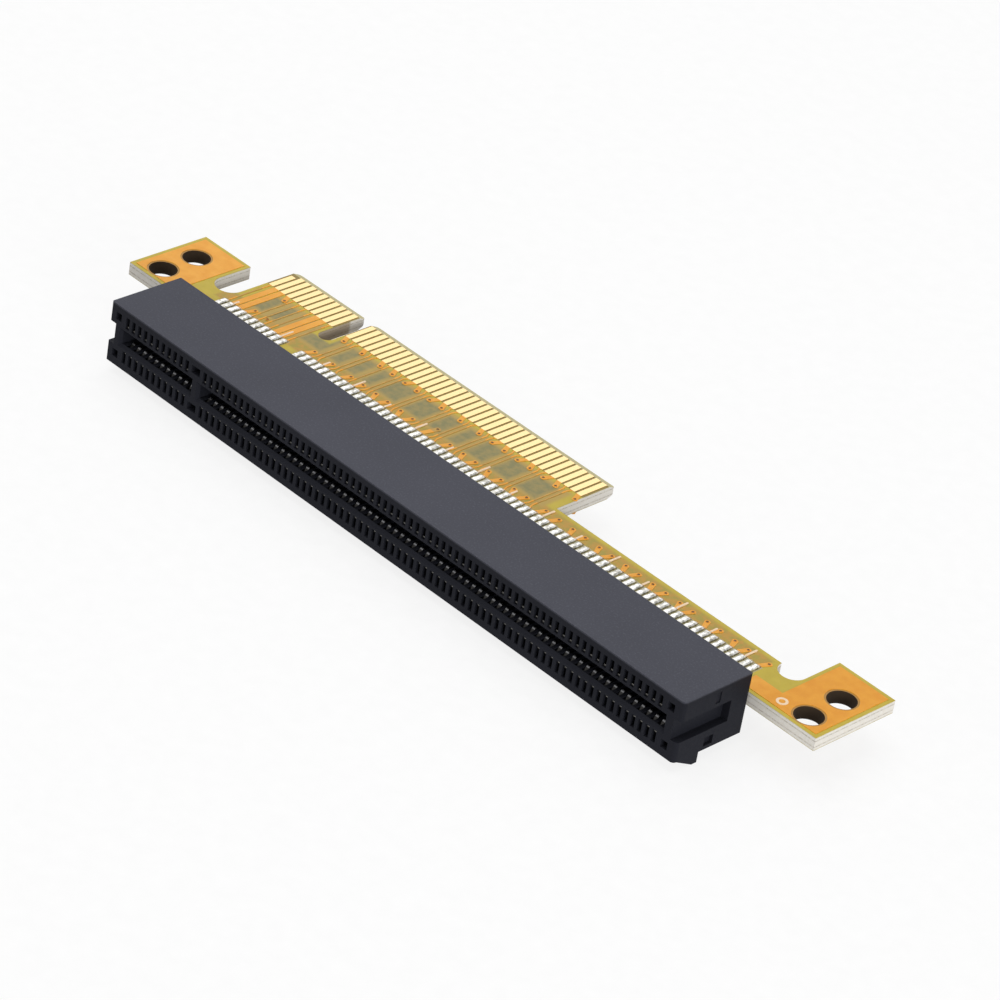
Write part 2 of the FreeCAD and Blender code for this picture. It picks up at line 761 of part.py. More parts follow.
def via_stub(pin, base, reach, shift):
    """A tear of copper from a pad or finger to the via beside it."""
    place, radius = value(pin_place(pin)), value("via_radius")
    half, height = value("stub_width / 2"), value(BOARD_TOP)
    end = base + reach
    turn = math.copysign(1, reach)
    corner = [FreeCAD.Vector(place - half, base, height), FreeCAD.Vector(place + half, base, height)]
    sides = [FreeCAD.Vector(place + shift + radius * step, end, height) for step in (1, -1)]
    crown = FreeCAD.Vector(place + shift, end + turn * radius, height)
    edges = [
        Part.LineSegment(corner[0], corner[1]).toShape(),
        Part.LineSegment(corner[1], sides[0]).toShape(),
        Part.Arc(sides[0], crown, sides[1]).toShape(),
        Part.LineSegment(sides[1], corner[0]).toShape(),
    ]
    face = Part.Face(Part.Wire(edges))
    return face.extrude(FreeCAD.Vector(0, 0, value("film_thickness")))


def ground_stubs(grounds, far_grounds, tall_stubs):
    """Stubs at both ends of a ground pin, leaning away from a ground beside it."""
    pad, finger = value(PAD_END), value(FINGER_START)
    reach = value("via_reach")
    stubs = []
    for pin in grounds + far_grounds:
        leans_left = pin + 1 in grounds + far_grounds
        shift = value("via_shift") * (-1 if leans_left else 1)
        pad_reach = value("tall_via_reach") if pin in tall_stubs else reach
        stubs.append(via_stub(pin, pad, pad_reach, shift))
        if pin in grounds:
            stubs.append(via_stub(pin, finger, -reach, shift))
    return stubs


def copper_film(name, power, singles, pairs, stubs):
    traces = [single_trace(pin) for pin in singles]
    for pin in pairs:
        traces += pair_traces(pin)
    thin = doc.addObject("Part::Feature", name + "_traces")
    thin.Shape = Part.makeCompound(traces + stubs)
    pours = [
        ear_pour(name + "_left_pour", LEFT_HOLE, -1, "left_ear_length"),
        ear_pour(name + "_right_pour", RIGHT_HOLE, 1, "right_ear_length"),
    ]
    strips = [power_strip(name, pin) for pin in power]
    return group(name, pours + strips + [thin])


# Banks of pins: the short row, then the lanes of x1, x4, x8 and x16 links

short_pins = int(sheet.short_row_pins)
edge_pins = int(sheet.edge_long_pins)
long_pins = int(sheet.long_row_pins)
X1_PINS = 7
X4_PINS = 21
LONG_BANKS = (
    ("x1", 0, str(X1_PINS)),
    ("x4", X1_PINS, str(X4_PINS)),
    ("x8", X4_PINS, "edge_long_pins"),
    ("x16", edge_pins, "long_row_pins"),
)

nodes = {
    "connector_housing": connector_housing(),
    "circuit_board": circuit_board(),
}

banks = [("power", 1, "short_row_pins")]
for bank, skipped, end in LONG_BANKS:
    banks.append((bank, short_pins + 1 + skipped, f"{end} - {skipped}"))

for bank, first, count in banks:
    contacts = contact_bank(f"upper_contacts_{bank}", first, count)
    joints = solder_bank(f"upper_solder_{bank}", first, count)
    nodes[f"upper_contacts_{bank}"] = contacts
    nodes[f"upper_solder_{bank}"] = joints
    nodes[f"lower_contacts_{bank}"] = underside(f"lower_contacts_{bank}", contacts)
    nodes[f"lower_solder_{bank}"] = underside(f"lower_solder_{bank}", joints)

for bank, first, count in banks[:-1]:
    number = int(value(count))
    name = f"gold_fingers_{bank}"
    nodes["upper_" + name] = finger_bank("upper_" + name, first, number, UPPER_SHORT_FINGERS)
    facing_up = finger_bank("mirror_" + name, first, number, LOWER_SHORT_FINGERS)
    nodes["lower_" + name] = underside("lower_" + name, facing_up)

upper_stubs = ground_stubs(UPPER_GROUNDS, UPPER_FAR_GROUNDS, UPPER_TALL_STUBS)
lower_stubs = ground_stubs(LOWER_GROUNDS, LOWER_FAR_GROUNDS, LOWER_TALL_STUBS)
nodes["upper_copper"] = copper_film(
    "upper_copper", UPPER_POWER, UPPER_SINGLES, UPPER_PAIRS, upper_stubs
)
mirror_copper = copper_film(
    "mirror_copper", LOWER_POWER, LOWER_SINGLES, LOWER_PAIRS, lower_stubs
)
nodes["lower_copper"] = underside("lower_copper", mirror_copper)
doc.recompute()

for item in doc.Objects:
    if "Invalid" in item.State or "Error" in item.State:
        raise RuntimeError(f"{item.Name} failed: {item.State}")
for name, item in nodes.items():
    if item.Shape.isNull() or not item.Shape.isValid():
        raise RuntimeError(f"{name} has no valid shape")

os.makedirs("parts", exist_ok=True)
for name, item in nodes.items():
    item.Label = name
    item.Shape.exportStep(f"parts/{name}.step")
    print(name, len(item.Shape.Solids), round(item.Shape.Volume, 3))
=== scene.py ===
import math

import bpy
from mathutils import Matrix, Vector


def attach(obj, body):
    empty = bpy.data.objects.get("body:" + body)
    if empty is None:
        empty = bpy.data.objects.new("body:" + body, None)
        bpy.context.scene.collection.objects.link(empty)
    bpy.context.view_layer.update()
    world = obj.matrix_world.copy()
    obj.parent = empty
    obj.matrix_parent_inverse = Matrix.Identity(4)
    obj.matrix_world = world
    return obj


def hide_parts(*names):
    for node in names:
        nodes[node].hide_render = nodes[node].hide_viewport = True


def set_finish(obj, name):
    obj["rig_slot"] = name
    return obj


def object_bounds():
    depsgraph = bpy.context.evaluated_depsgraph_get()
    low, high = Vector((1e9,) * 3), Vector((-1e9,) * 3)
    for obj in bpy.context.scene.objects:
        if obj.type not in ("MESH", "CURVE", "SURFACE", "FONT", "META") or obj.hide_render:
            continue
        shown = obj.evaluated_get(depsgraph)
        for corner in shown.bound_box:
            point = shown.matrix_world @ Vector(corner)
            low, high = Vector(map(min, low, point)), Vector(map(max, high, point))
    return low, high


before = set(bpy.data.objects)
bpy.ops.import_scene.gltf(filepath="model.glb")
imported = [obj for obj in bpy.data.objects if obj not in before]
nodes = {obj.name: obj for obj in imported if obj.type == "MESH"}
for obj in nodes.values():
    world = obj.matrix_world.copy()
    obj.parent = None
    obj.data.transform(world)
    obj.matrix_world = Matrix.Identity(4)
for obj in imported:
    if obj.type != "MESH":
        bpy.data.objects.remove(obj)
cad_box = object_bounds()

MM = 0.001

# Places in millimetres, as the solids have them: heights first, then along Y and along X.
BOARD_TOP = 0.8
JOINT_CROWN = 1.15
HOUSING_TOP = 3.75
HOUSING_BACK = 9.92
JOINT_START = 12.22
HEEL = 13.42
TOE_END = 14.42
PAD_END = 14.97
FINGER_START = 21.35
BEVEL_START = 25.4
TONGUE_LEFT = -12.15
TONGUE_RIGHT = 39.15
SCREW_HOLES = ((-20.4, 12.92), (-20.4, 17.92), (80.4, 12.92), (80.4, 17.92))
HOLE_RADIUS = 1.65
# The object's middle, where the floor is centred and the lamps aim.
MIDDLE = (30.0, 10.0)

# Each bank of pins: its name, its first pin and how many it has. Pins are numbered from the
# short row's outer end.
PITCH = 1.0
SHORT_ROW = 11
BANKS = (("power", 1, 11), ("x1", 12, 7), ("x4", 19, 14), ("x8", 33, 17), ("x16", 50, 33))
# Pins that are grounded through a via. The far ones lie past the gold edge, with one via each.
UPPER_GROUNDS = (4, 12, 15, 18, 20, 23, 24, 27, 28, 31, 34, 37, 38, 41, 42, 45, 46, 49)
UPPER_FAR_GROUNDS = (51, 54, 55, 58, 59, 62, 63, 66, 67, 70, 71, 74, 75, 78, 79, 82)
UPPER_TALL_STUBS = (31,)
LOWER_GROUNDS = (4, 7, 13, 16, 18, 21, 22, 25, 26, 29, 32, 35, 36, 39, 40, 43, 44, 47, 49)
LOWER_FAR_GROUNDS = (52, 53, 56, 57, 60, 61, 64, 65, 68, 69, 72, 73, 76, 77, 80)
LOWER_TALL_STUBS = (25,)
# First and last pins of the power strips on each side.
UPPER_POWER = ((2, 3), (9, 10))
LOWER_POWER = ((1, 3), (8, 8), (10, 10))

# Regions of the board, each along X and along Y.
PAD_STRIP = ((-13.2, 71.8), (14.4, 16.8))
SHORT_JOINT_ROW = ((-12.0, -1.1), (11.0, PAD_END))
LONG_JOINT_ROW = ((1.1, 72.0), (11.0, PAD_END))
TRACES = ((-13.2, 75.0), (PAD_END + 1.3, FINGER_START - 1.3))
INNER_PLANE = ((-9.3, 38.1), (16.2, 20.8))
AROUND_KEY = ((-1.5, 1.5), (18.6, 24.0))
TONGUE = ((TONGUE_LEFT - 1, TONGUE_RIGHT + 1), (FINGER_START, BEVEL_START + 2))
RIGHT_POUR_START = 71.0
RIGHT_POUR_FULL = 76.0
# Where the inner plane shows between the trace pairs.
OPEN_CELLS = (
    (-9.2, -7.8), (-6.6, -5.4), (-1.2, 2.0), (3.7, 5.1), (6.4, 7.7), (8.9, 10.2), (11.4, 14.2),
    (15.6, 18.3), (19.6, 21.4), (22.8, 24.2), (25.6, 28.2), (29.6, 32.2), (33.6, 36.4),
)
OPEN_REACH = (16.7, 20.2)
# The inner copper layers lie this far from the board's mid-plane.
INNER_LAYER = 0.36

# Along a contact: where its tip ends, and where its painted highlight sits, on the near slope of its bump.
TIP_END = 0.6
CREST = 1.3

JOINT_WIDTH = 0.66
JOINT_DIP = 0.06

# A via stands beside its pin, this far from the pad or from the gold finger.
VIA_SHIFT = 0.45
VIA_REACH = 1.0
TALL_VIA_REACH = 2.0
VIA_RADIUS = 0.21
VIA_WALL = 0.05
VIA_RISE = 0.08
VIA_SINK = 0.015
# One via stands alone between two traces of the short row.
LONE_VIA = (-6.0, PAD_END + VIA_REACH)

# Printed marks.
STROKE_WIDTH = 0.25
STROKE_RISE = 0.09
STROKE_START = PAD_END - 0.05
LONG_STROKE = 1.85
SHORT_STROKE = 1.1
SECOND_PIN_STROKE = 0.8
RING_PLACE = (77.2, 12.3)
RING_RADIUS = 0.66
RING_WIDTH = 0.3
RING_RISE = 0.08


def pin_place(pin):
    """The place of a pin along X: the key takes two pitches more between the rows."""
    return pin - 12.5 if pin <= SHORT_ROW else pin - 10.5


def linear(code):
    """An sRGB hex colour as the linear colour that the shaders take."""
    channels = [int(code[place : place + 2], 16) / 255 for place in (1, 3, 5)]
    return tuple(c / 12.92 if c <= 0.04045 else ((c + 0.055) / 1.055) ** 2.4 for c in channels) + (1.0,)


def add_node(tree, kind, inputs=None, **settings):
    """Add one node, set it and link it: an input given as a node or a socket is linked."""
    item = tree.nodes.new(kind)
    for name, setting in settings.items():
        setattr(item, name, setting)
    for socket, source in (inputs or {}).items():
        if isinstance(source, bpy.types.Node):
            source = next(output for output in source.outputs if output.enabled)
        if isinstance(source, bpy.types.NodeSocket):
            tree.links.new(source, item.inputs[socket])
        else:
            item.inputs[socket].default_value = source
    return item


def new_material(name):
    """A material of that name, with an empty node tree."""
    material = bpy.data.materials.new(name)
    material.use_nodes = True
    tree = material.node_tree
    tree.nodes.clear()
    return material, tree


def place_on_piece(tree):
    """The place on the piece in millimetres, whole and split into X, Y and Z."""
    spot = add_node(tree, "ShaderNodeTexCoord").outputs["Object"]
    in_mm = add_node(tree, "ShaderNodeVectorMath", {0: spot, "Scale": 1000.0}, operation="SCALE")
    return in_mm, add_node(tree, "ShaderNodeSeparateXYZ", {0: in_mm})


def inside_rectangle(tree, spot, region, blur):
    """One inside a rectangle of the board, nought outside, smooth between."""
    across, along = region
    middle = ((across[0] + across[1]) / 2, (along[0] + along[1]) / 2, 0.0)
    half = ((across[1] - across[0]) / 2, (along[1] - along[0]) / 2, 0.0)
    moved = add_node(tree, "ShaderNodeVectorMath", {0: spot, 1: middle}, operation="SUBTRACT")
    mirrored = add_node(tree, "ShaderNodeVectorMath", {0: moved}, operation="ABSOLUTE")
    past = add_node(tree, "ShaderNodeVectorMath", {0: mirrored, 1: half}, operation="SUBTRACT")
    beyond = add_node(tree, "ShaderNodeSeparateXYZ", {0: past})
    pair = {0: beyond.outputs[0], 1: beyond.outputs[1]}
    most = add_node(tree, "ShaderNodeMath", pair, operation="MAXIMUM")
    ends = {0: most, 1: blur, 2: -blur, 3: 0.0, 4: 1.0}
    return add_node(tree, "ShaderNodeMapRange", ends, interpolation_type="SMOOTHSTEP")


def near_spots(tree, spot, places, radius, blur):
    """One within a radius of any of the places on the board, nought beyond."""
    found = None
    for x, y in places:
        moved = add_node(tree, "ShaderNodeVectorMath", {0: spot, 1: (x, y, 0.0)}, operation="SUBTRACT")
        flat = add_node(tree, "ShaderNodeVectorMath", {0: moved, 1: (1.0, 1.0, 0.0)}, operation="MULTIPLY")
        away = add_node(tree, "ShaderNodeVectorMath", {0: flat}, operation="LENGTH").outputs["Value"]
        ends = {0: away, 1: radius + blur, 2: radius, 3: 0.0, 4: 1.0}
        near = add_node(tree, "ShaderNodeMapRange", ends, interpolation_type="SMOOTHSTEP")
        if found:
            near = add_node(tree, "ShaderNodeMath", {0: found, 1: near}, operation="MAXIMUM")
        found = near
    return found


def give(material, names):
    """Put a material on CAD nodes, in place of the plain one that they came with."""
    for name in names:
        node = nodes[name]
        for slot in node.material_slots:
            slot.material = material
        if not node.material_slots:
            node.data.materials.append(material)


def nodes_called(word):
    return [name for name in nodes if word in name]


# Glass-filled nylon, moulded: near black and matt. Its top is painted greyer than its sides, a painted sheen
# for the light it catches from above and behind, flecked by the die's fine grain, and flow clouds keep any
# face from one even tone.
def moulded_nylon():
    material, tree = new_material("glass_filled_nylon_moulded")
    spot, parts = place_on_piece(tree)
    # The real grain is about 0.15 mm. It is drawn a little coarser here, so that it shows.
    grain = add_node(tree, "ShaderNodeTexNoise", {"Vector": spot, "Scale": 4.5, "Detail": 3.0})
    cloud = add_node(tree, "ShaderNodeTexNoise", {"Vector": spot, "Scale": 0.1, "Detail": 2.0})
    bare = add_node(
        tree, "ShaderNodeMix", {0: cloud, 6: linear("#1b1c21"), 7: linear("#25262d")}, data_type="RGBA"
    )
    # Painted sheen: the paler tones the top takes, flecked by the grain.
    painted_top_sheen = add_node(
        tree, "ShaderNodeMix", {0: cloud, 6: linear("#43444c"), 7: linear("#4b4c55")}, data_type="RGBA"
    )
    speck = add_node(tree, "ShaderNodeMapRange", {0: grain, 1: 0.52, 2: 0.7, 3: 0.0, 4: 0.35})
    painted_top_sheen = add_node(
        tree, "ShaderNodeMix", {0: speck, 6: painted_top_sheen, 7: linear("#62646c")}, data_type="RGBA"
    )
    # Painted sheen mask: one on the housing's top face, nought on its sides.
    painted_sheen_mask = add_node(
        tree,
        "ShaderNodeMapRange",
        {0: parts.outputs[2], 1: HOUSING_TOP - 0.3, 2: HOUSING_TOP - 0.02},
        interpolation_type="SMOOTHSTEP",
    )
    shader = add_node(
        tree,
        "ShaderNodeBsdfPrincipled",
        {
            "Base Color": add_node(tree, "ShaderNodeMix", {0: painted_sheen_mask, 6: bare, 7: painted_top_sheen}, data_type="RGBA"),
            "Roughness": add_node(tree, "ShaderNodeMapRange", {0: grain, 1: 0.3, 2: 0.7, 3: 0.48, 4: 0.62}),
            "IOR": 1.5,
            "Specular IOR Level": 0.05,
            "Normal": add_node(
                tree, "ShaderNodeBump", {"Height": grain, "Strength": 0.12, "Distance": 0.03 * MM}
            ),
        },
    )
    add_node(tree, "ShaderNodeOutputMaterial", {"Surface": shader})
    return material


# Epoxy glass laminate under green-yellow solder mask: glossy, and thin enough to see the
# grey inner plane and the brown resin, with the pale glass cloth bare on its cut edges.
def masked_laminate():
    material, tree = new_material("glass_laminate_masked")
    spot, parts = place_on_piece(tree)
    mottle = add_node(tree, "ShaderNodeTexNoise", {"Vector": spot, "Scale": 0.7, "Detail": 4.0})
    # Glass cloth has a thread every 0.45 mm or so, with about two grains of noise to a thread.
    cloth = add_node(
        tree, "ShaderNodeTexNoise", {"Vector": spot, "Scale": 4.4, "Detail": 2.0, "Roughness": 0.6}
    )
    mask = add_node(
        tree, "ShaderNodeMix", {0: mottle, 6: linear("#ae9a26"), 7: linear("#c4ae38")}, data_type="RGBA"
    )
    # Over the pads' strip the resin below is browner, with green where the mask pooled.
    pool = add_node(tree, "ShaderNodeTexNoise", {"Vector": spot, "Scale": 1.3, "Detail": 3.0})
    pooled = add_node(tree, "ShaderNodeMapRange", {0: pool, 1: 0.4, 2: 0.62})
    brown = add_node(
        tree, "ShaderNodeMix", {0: pooled, 6: linear("#b68c34"), 7: linear("#a08e34")}, data_type="RGBA"
    )
    on_strip = inside_rectangle(tree, spot, PAD_STRIP, 0.25)
    mask = add_node(tree, "ShaderNodeMix", {0: on_strip, 6: mask, 7: brown}, data_type="RGBA")
    # The plane stops short of the board's edges and of the key. It is grey green in the cells
    # between the trace pairs, and golden near a trace, where the mask stands thicker.
    grey = add_node(
        tree, "ShaderNodeMix", {0: pooled, 6: linear("#90824c"), 7: linear("#7e784a")}, data_type="RGBA"
    )
    cells = 0.0
    for across in OPEN_CELLS:
        cell = inside_rectangle(tree, spot, (across, OPEN_REACH), 0.35)
        cells = add_node(tree, "ShaderNodeMath", {0: cells, 1: cell}, operation="MAXIMUM")
    plane = add_node(tree, "ShaderNodeMix", {0: cells, 6: linear("#ae9246"), 7: grey}, data_type="RGBA")
    over_plane = inside_rectangle(tree, spot, INNER_PLANE, 0.35)
    near_key = inside_rectangle(tree, spot, AROUND_KEY, 0.25)
    clear_of_key = add_node(tree, "ShaderNodeMath", {0: 1.0, 1: near_key}, operation="SUBTRACT")
    on_plane = add_node(tree, "ShaderNodeMath", {0: over_plane, 1: clear_of_key}, operation="MULTIPLY")
    face = add_node(tree, "ShaderNodeMix", {0: on_plane, 6: mask, 7: plane}, data_type="RGBA")
    # Painted shade: the mask is greyed between the joints of both rows, where the joints and the housing
    # shade it.
    short_row = inside_rectangle(tree, spot, SHORT_JOINT_ROW, 0.08)
    long_row = inside_rectangle(tree, spot, LONG_JOINT_ROW, 0.08)
    rows = add_node(tree, "ShaderNodeMath", {0: short_row, 1: long_row}, operation="MAXIMUM")
    face = add_node(tree, "ShaderNodeMix", {0: rows, 6: face, 7: linear("#aca47c")}, data_type="RGBA")
    # The mask is thin round the screw holes, where the drill burred the copper.
    rings = near_spots(tree, spot, SCREW_HOLES, HOLE_RADIUS + 0.2, 0.08)
    face = add_node(tree, "ShaderNodeMix", {0: rings, 6: face, 7: linear("#a87c34")}, data_type="RGBA")
    # No mask covers the tongue between the fingers: there the brown resin shows.
    resin = add_node(
        tree, "ShaderNodeMix", {0: cloth, 6: linear("#766424"), 7: linear("#96803a")}, data_type="RGBA"
    )
    tongue = inside_rectangle(tree, spot, TONGUE, 0.05)
    face = add_node(tree, "ShaderNodeMix", {0: tongue, 6: face, 7: resin}, data_type="RGBA")

    # Cut edges: cloth, with a fine dark line where each inner copper layer ends and a rim of mask.
    height = add_node(tree, "ShaderNodeMath", {0: parts.outputs[2]}, operation="ABSOLUTE")
    edge = add_node(
        tree, "ShaderNodeMix", {0: cloth, 6: linear("#e6dece"), 7: linear("#fefcf8")}, data_type="RGBA"
    )
    from_layer = add_node(tree, "ShaderNodeMath", {0: height, 1: INNER_LAYER}, operation="SUBTRACT")
    off_layer = add_node(tree, "ShaderNodeMath", {0: from_layer}, operation="ABSOLUTE")
    layer = add_node(tree, "ShaderNodeMapRange", {0: off_layer, 1: 0.12, 2: 0.03, 3: 0.0, 4: 0.6})
    frayed = add_node(tree, "ShaderNodeMapRange", {0: cloth, 1: 0.42, 2: 0.6, 3: 0.2, 4: 1.0})
    layer = add_node(tree, "ShaderNodeMath", {0: layer, 1: frayed}, operation="MULTIPLY")
    edge = add_node(tree, "ShaderNodeMix", {0: layer, 6: edge, 7: linear("#9a8c74")}, data_type="RGBA")
    rim_ends = {0: height, 1: BOARD_TOP - 0.12, 2: BOARD_TOP, 3: 0.0, 4: 0.8}
    rim = add_node(tree, "ShaderNodeMapRange", rim_ends)
    edge = add_node(tree, "ShaderNodeMix", {0: rim, 6: edge, 7: linear("#b8a850")}, data_type="RGBA")
    # Inside the key the resin was scorched brown by the cutter.
    scorched = add_node(tree, "ShaderNodeMath", {0: near_key, 1: 0.6}, operation="MULTIPLY")
    edge = add_node(tree, "ShaderNodeMix", {0: scorched, 6: edge, 7: linear("#8a6c34")}, data_type="RGBA")
    # The screw holes' walls are painted dark, as painted shade inside the holes.
    hole_wall_shade = near_spots(tree, spot, SCREW_HOLES, HOLE_RADIUS + 0.02, 0.03)
    edge = add_node(tree, "ShaderNodeMix", {0: hole_wall_shade, 6: edge, 7: linear("#3a2e22")}, data_type="RGBA")

    # A face that stands on edge is cut, and one past the fingers is ground to the bevel.
    facing = add_node(tree, "ShaderNodeNewGeometry").outputs["Normal"]
    upward = add_node(tree, "ShaderNodeSeparateXYZ", {0: facing}).outputs[2]
    flatness = add_node(tree, "ShaderNodeMath", {0: upward}, operation="ABSOLUTE")
    cut_face = add_node(tree, "ShaderNodeMapRange", {0: flatness, 1: 0.7, 2: 0.5, 3: 0.0, 4: 1.0})
    past_bevel = add_node(
        tree, "ShaderNodeMapRange", {0: parts.outputs[1], 1: BEVEL_START - 0.02, 2: BEVEL_START + 0.02}
    )
    ground = add_node(
        tree, "ShaderNodeMix", {0: cloth, 6: linear("#b0a678"), 7: linear("#cfc69c")}, data_type="RGBA"
    )
    face = add_node(tree, "ShaderNodeMix", {0: past_bevel, 6: face, 7: ground}, data_type="RGBA")
    matt = add_node(tree, "ShaderNodeMath", {0: cut_face, 1: past_bevel}, operation="MAXIMUM")
    shader = add_node(
        tree,
        "ShaderNodeBsdfPrincipled",
        {
            "Base Color": add_node(tree, "ShaderNodeMix", {0: cut_face, 6: face, 7: edge}, data_type="RGBA"),
            "Roughness": add_node(tree, "ShaderNodeMapRange", {0: matt, 3: 0.32, 4: 0.7}),
            "IOR": 1.52,
            "Specular IOR Level": 0.15,
            "Normal": add_node(
                tree, "ShaderNodeBump", {"Height": cloth, "Strength": 0.15, "Distance": 0.03 * MM}
            ),
        },
    )
    add_node(tree, "ShaderNodeOutputMaterial", {"Surface": shader})
    return material


# Copper under the same mask: it shines through orange, a little uneven where the mask pooled.
def masked_copper():
    material, tree = new_material("copper_masked")
    spot, parts = place_on_piece(tree)
    mottle = add_node(tree, "ShaderNodeTexNoise", {"Vector": spot, "Scale": 0.9, "Detail": 5.0})
    fine = add_node(tree, "ShaderNodeTexNoise", {"Vector": spot, "Scale": 6.0, "Detail": 2.0})
    spread = add_node(tree, "ShaderNodeMapRange", {0: mottle, 1: 0.35, 2: 0.65})
    pour = add_node(
        tree, "ShaderNodeMix", {0: spread, 6: linear("#e29a2c"), 7: linear("#e8a438")}, data_type="RGBA"
    )
    # The right ear's pour is painted a darker, deeper orange than the rest, as painted shade where the light
    # falls off towards the right.
    ear_ends = {0: parts.outputs[0], 1: RIGHT_POUR_START, 2: RIGHT_POUR_FULL}
    on_right_ear = add_node(tree, "ShaderNodeMapRange", ear_ends)
    shaded_pour = add_node(
        tree, "ShaderNodeMix", {0: spread, 6: linear("#da901a"), 7: linear("#e09a24")}, data_type="RGBA"
    )
    pour = add_node(tree, "ShaderNodeMix", {0: on_right_ear, 6: pour, 7: shaded_pour}, data_type="RGBA")
    # Thin lines lie under more of the green mask than the pours, stubs and power strips do.
    line = add_node(
        tree, "ShaderNodeMix", {0: spread, 6: linear("#b48a3e"), 7: linear("#c29848")}, data_type="RGBA"
    )
    lines = inside_rectangle(tree, spot, TRACES, 0.1)
    on_upper = add_node(tree, "ShaderNodeMapRange", {0: parts.outputs[2], 1: -0.1, 2: 0.1})
    on_lower = add_node(tree, "ShaderNodeMapRange", {0: parts.outputs[2], 1: 0.1, 2: -0.1})
    for on_side, pins in ((on_upper, UPPER_POWER), (on_lower, LOWER_POWER)):
        for first, last in pins:
            across = (pin_place(first) - PITCH / 2, pin_place(last) + PITCH / 2)
            strip = inside_rectangle(tree, spot, (across, (PAD_END, FINGER_START)), 0.02)
            strip = add_node(tree, "ShaderNodeMath", {0: strip, 1: on_side}, operation="MULTIPLY")
            lines = add_node(
                tree, "ShaderNodeMath", {0: lines, 1: strip}, operation="SUBTRACT", use_clamp=True
            )
    shader = add_node(
        tree,
        "ShaderNodeBsdfPrincipled",
        {
            "Base Color": add_node(
                tree, "ShaderNodeMix", {0: lines, 6: pour, 7: line}, data_type="RGBA"
            ),
            "Roughness": 0.36,
            "IOR": 1.52,
            "Specular IOR Level": 0.15,
            "Normal": add_node(
                tree, "ShaderNodeBump", {"Height": fine, "Strength": 0.1, "Distance": 0.02 * MM}
            ),
        },
    )
    add_node(tree, "ShaderNodeOutputMaterial", {"Surface": shader})
    return material


# Hard gold on nickel, plated and then rubbed by use: pale, with faint marks along Y.
def hard_gold():
    material, tree = new_material("hard_gold_plated")
    spot, _ = place_on_piece(tree)
    stretched = add_node(tree, "ShaderNodeMapping", {"Vector": spot, "Scale": (12.0, 0.8, 1.0)})
    rub = add_node(tree, "ShaderNodeTexNoise", {"Vector": stretched, "Scale": 1.0, "Detail": 3.0})
    shader = add_node(
        tree,
        "ShaderNodeBsdfPrincipled",
        {
            "Base Color": add_node(
                tree, "ShaderNodeMix", {0: rub, 6: linear("#c8ac76"), 7: linear("#d6bc8e")}, data_type="RGBA"
            ),
            "Metallic": 1.0,
            "Roughness": add_node(tree, "ShaderNodeMapRange", {0: rub, 1: 0.3, 2: 0.7, 3: 0.26, 4: 0.4}),
        },
    )
    add_node(tree, "ShaderNodeOutputMaterial", {"Surface": shader})
    return material


# Phosphor bronze strip, plated with tin: grey at its tip, painted dark along its beam as painted shade
# inside the slot, a painted highlight along its crest, where cards slide past, and bright on the tail that
# leaves the housing.
def plated_bronze():
    material, tree = new_material("phosphor_bronze_tinned")
    spot, parts = place_on_piece(tree)
    stain = add_node(tree, "ShaderNodeTexNoise", {"Vector": spot, "Scale": 2.5, "Detail": 3.0})
    dull = add_node(
        tree, "ShaderNodeMix", {0: stain, 6: linear("#565552"), 7: linear("#767470")}, data_type="RGBA"
    )
    # Painted highlight: paler within a short way of the crest.
    from_crest = add_node(tree, "ShaderNodeMath", {0: parts.outputs[1], 1: CREST}, operation="SUBTRACT")
    off_crest = add_node(tree, "ShaderNodeMath", {0: from_crest}, operation="ABSOLUTE")
    crest_highlight = add_node(tree, "ShaderNodeMapRange", {0: off_crest, 1: 0.15, 2: 0.06})
    # Painted shade: the beam past the tip is darkened.
    past_tip = {0: parts.outputs[1], 1: TIP_END, 2: TIP_END + 0.15}
    beam_shade = add_node(tree, "ShaderNodeMapRange", past_tip)
    strip = add_node(tree, "ShaderNodeMix", {0: beam_shade, 6: dull, 7: linear("#343332")}, data_type="RGBA")
    face = add_node(tree, "ShaderNodeMix", {0: crest_highlight, 6: strip, 7: linear("#808082")}, data_type="RGBA")
    behind = {0: parts.outputs[1], 1: HOUSING_BACK - 1.5, 2: HOUSING_BACK - 0.5}
    tail = add_node(tree, "ShaderNodeMapRange", behind)
    shader = add_node(
        tree,
        "ShaderNodeBsdfPrincipled",
        {
            "Base Color": add_node(
                tree, "ShaderNodeMix", {0: tail, 6: face, 7: linear("#c0beb8")}, data_type="RGBA"
            ),
            "Metallic": 1.0,
            "Roughness": add_node(tree, "ShaderNodeMapRange", {0: stain, 1: 0.3, 2: 0.7, 3: 0.22, 4: 0.36}),
        },
    )
    add_node(tree, "ShaderNodeOutputMaterial", {"Surface": shader})
    return material


